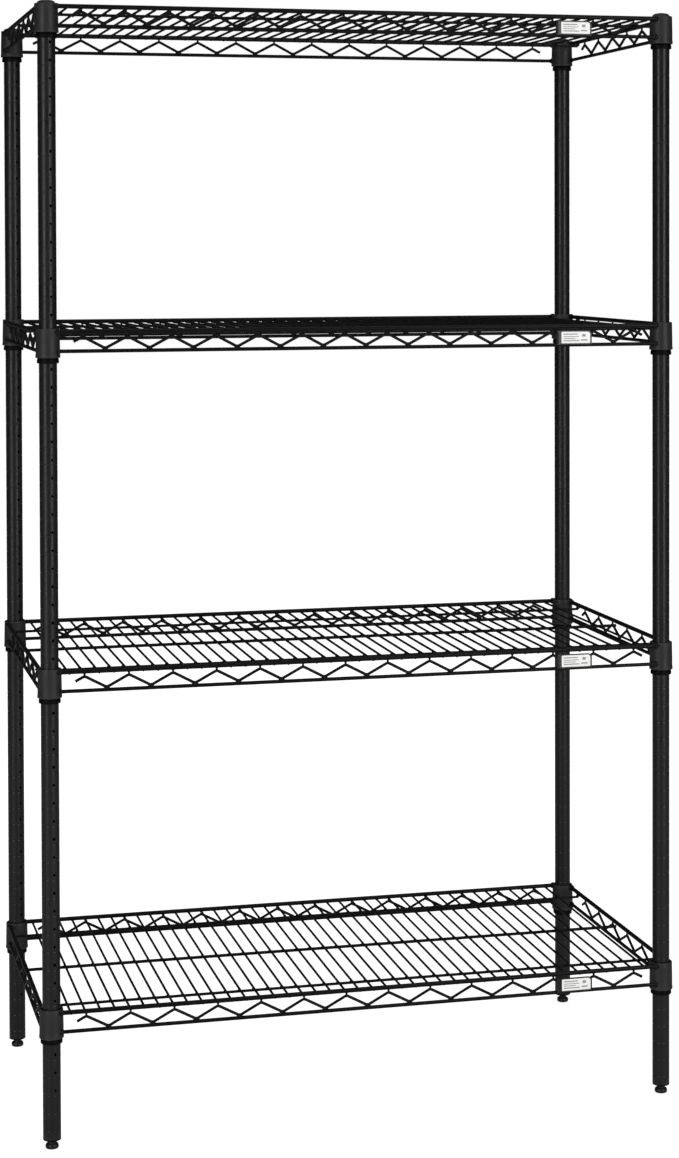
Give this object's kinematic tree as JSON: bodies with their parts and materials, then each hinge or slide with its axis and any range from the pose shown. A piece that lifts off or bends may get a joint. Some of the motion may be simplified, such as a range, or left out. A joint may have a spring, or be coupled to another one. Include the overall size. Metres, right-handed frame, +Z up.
{
  "type": "wire shelving rack",
  "caption": "Free-standing black wire shelving rack: grooved tube posts on levelling feet carry flat wire shelves with zigzag edge trusses and wedge-on corner collars.",
  "frame": {"origin": "on the floor, under the centre of the rack", "axes": "+Z up along the posts, +X along the width to the right seen from the front, -Y faces the front"},
  "size_m": [0.9494, 0.4922, 1.6177],
  "materials": {
    "post_black": "satin",
    "wire_black": "satin",
    "foot_black": "satin",
    "cap_black": "matt",
    "insert_black": "matt",
    "sleeve_black": "matt",
    "label_white": "gloss"
  },
  "bodies": {
    "posts": {"post_fl": "post_black", "cap_fl": "cap_black", "insert_fl": "insert_black", "post_fr": "post_black", "cap_fr": "cap_black", "insert_fr": "insert_black", "post_bl": "post_black", "cap_bl": "cap_black", "insert_bl": "insert_black", "post_br": "post_black", "cap_br": "cap_black", "insert_br": "insert_black", "sleeve_top_fl_rear": "sleeve_black", "sleeve_top_fl_front": "sleeve_black", "sleeve_top_fr_rear": "sleeve_black", "sleeve_top_fr_front": "sleeve_black", "sleeve_top_bl_rear": "sleeve_black", "sleeve_top_bl_front": "sleeve_black", "sleeve_top_br_rear": "sleeve_black", "sleeve_top_br_front": "sleeve_black", "sleeve_upper_fl_rear": "sleeve_black", "sleeve_upper_fl_front": "sleeve_black", "sleeve_upper_fr_rear": "sleeve_black", "sleeve_upper_fr_front": "sleeve_black", "sleeve_upper_bl_rear": "sleeve_black", "sleeve_upper_bl_front": "sleeve_black", "sleeve_upper_br_rear": "sleeve_black", "sleeve_upper_br_front": "sleeve_black", "sleeve_lower_fl_rear": "sleeve_black", "sleeve_lower_fl_front": "sleeve_black", "sleeve_lower_fr_rear": "sleeve_black", "sleeve_lower_fr_front": "sleeve_black", "sleeve_lower_bl_rear": "sleeve_black", "sleeve_lower_bl_front": "sleeve_black", "sleeve_lower_br_rear": "sleeve_black", "sleeve_lower_br_front": "sleeve_black", "sleeve_bottom_fl_rear": "sleeve_black", "sleeve_bottom_fl_front": "sleeve_black", "sleeve_bottom_fr_rear": "sleeve_black", "sleeve_bottom_fr_front": "sleeve_black", "sleeve_bottom_bl_rear": "sleeve_black", "sleeve_bottom_bl_front": "sleeve_black", "sleeve_bottom_br_rear": "sleeve_black", "sleeve_bottom_br_front": "sleeve_black"},
    "foot_fl": {"foot_fl": "foot_black"},
    "foot_fr": {"foot_fr": "foot_black"},
    "foot_bl": {"foot_bl": "foot_black"},
    "foot_br": {"foot_br": "foot_black"},
    "shelf_top": {"shelf_top_frame": "wire_black", "shelf_top_deck": "wire_black", "label_top": "label_white"},
    "shelf_upper": {"shelf_upper_frame": "wire_black", "shelf_upper_deck": "wire_black", "label_upper": "label_white"},
    "shelf_lower": {"shelf_lower_frame": "wire_black", "shelf_lower_deck": "wire_black", "label_lower": "label_white"},
    "shelf_bottom": {"shelf_bottom_frame": "wire_black", "shelf_bottom_deck": "wire_black", "label_bottom": "label_white"}
  },
  "joints": [
    {"name": "lift_top", "type": "slide", "parent": "posts", "child": "shelf_top", "axis": [0, 0, 1], "range_m": [0, 0.06]},
    {"name": "lift_upper", "type": "slide", "parent": "posts", "child": "shelf_upper", "axis": [0, 0, 1], "range_m": [0, 0.4]},
    {"name": "lift_lower", "type": "slide", "parent": "posts", "child": "shelf_lower", "axis": [0, 0, 1], "range_m": [0, 0.42]},
    {"name": "lift_bottom", "type": "slide", "parent": "posts", "child": "shelf_bottom", "axis": [0, 0, 1], "range_m": [0, 0.42]},
    {"name": "level_fl", "type": "slide", "parent": "posts", "child": "foot_fl", "axis": [0, 0, -1], "range_m": [0, 0.018]},
    {"name": "level_fr", "type": "slide", "parent": "posts", "child": "foot_fr", "axis": [0, 0, -1], "range_m": [0, 0.018]},
    {"name": "level_bl", "type": "slide", "parent": "posts", "child": "foot_bl", "axis": [0, 0, -1], "range_m": [0, 0.018]},
    {"name": "level_br", "type": "slide", "parent": "posts", "child": "foot_br", "axis": [0, 0, -1], "range_m": [0, 0.018]}
  ]
}
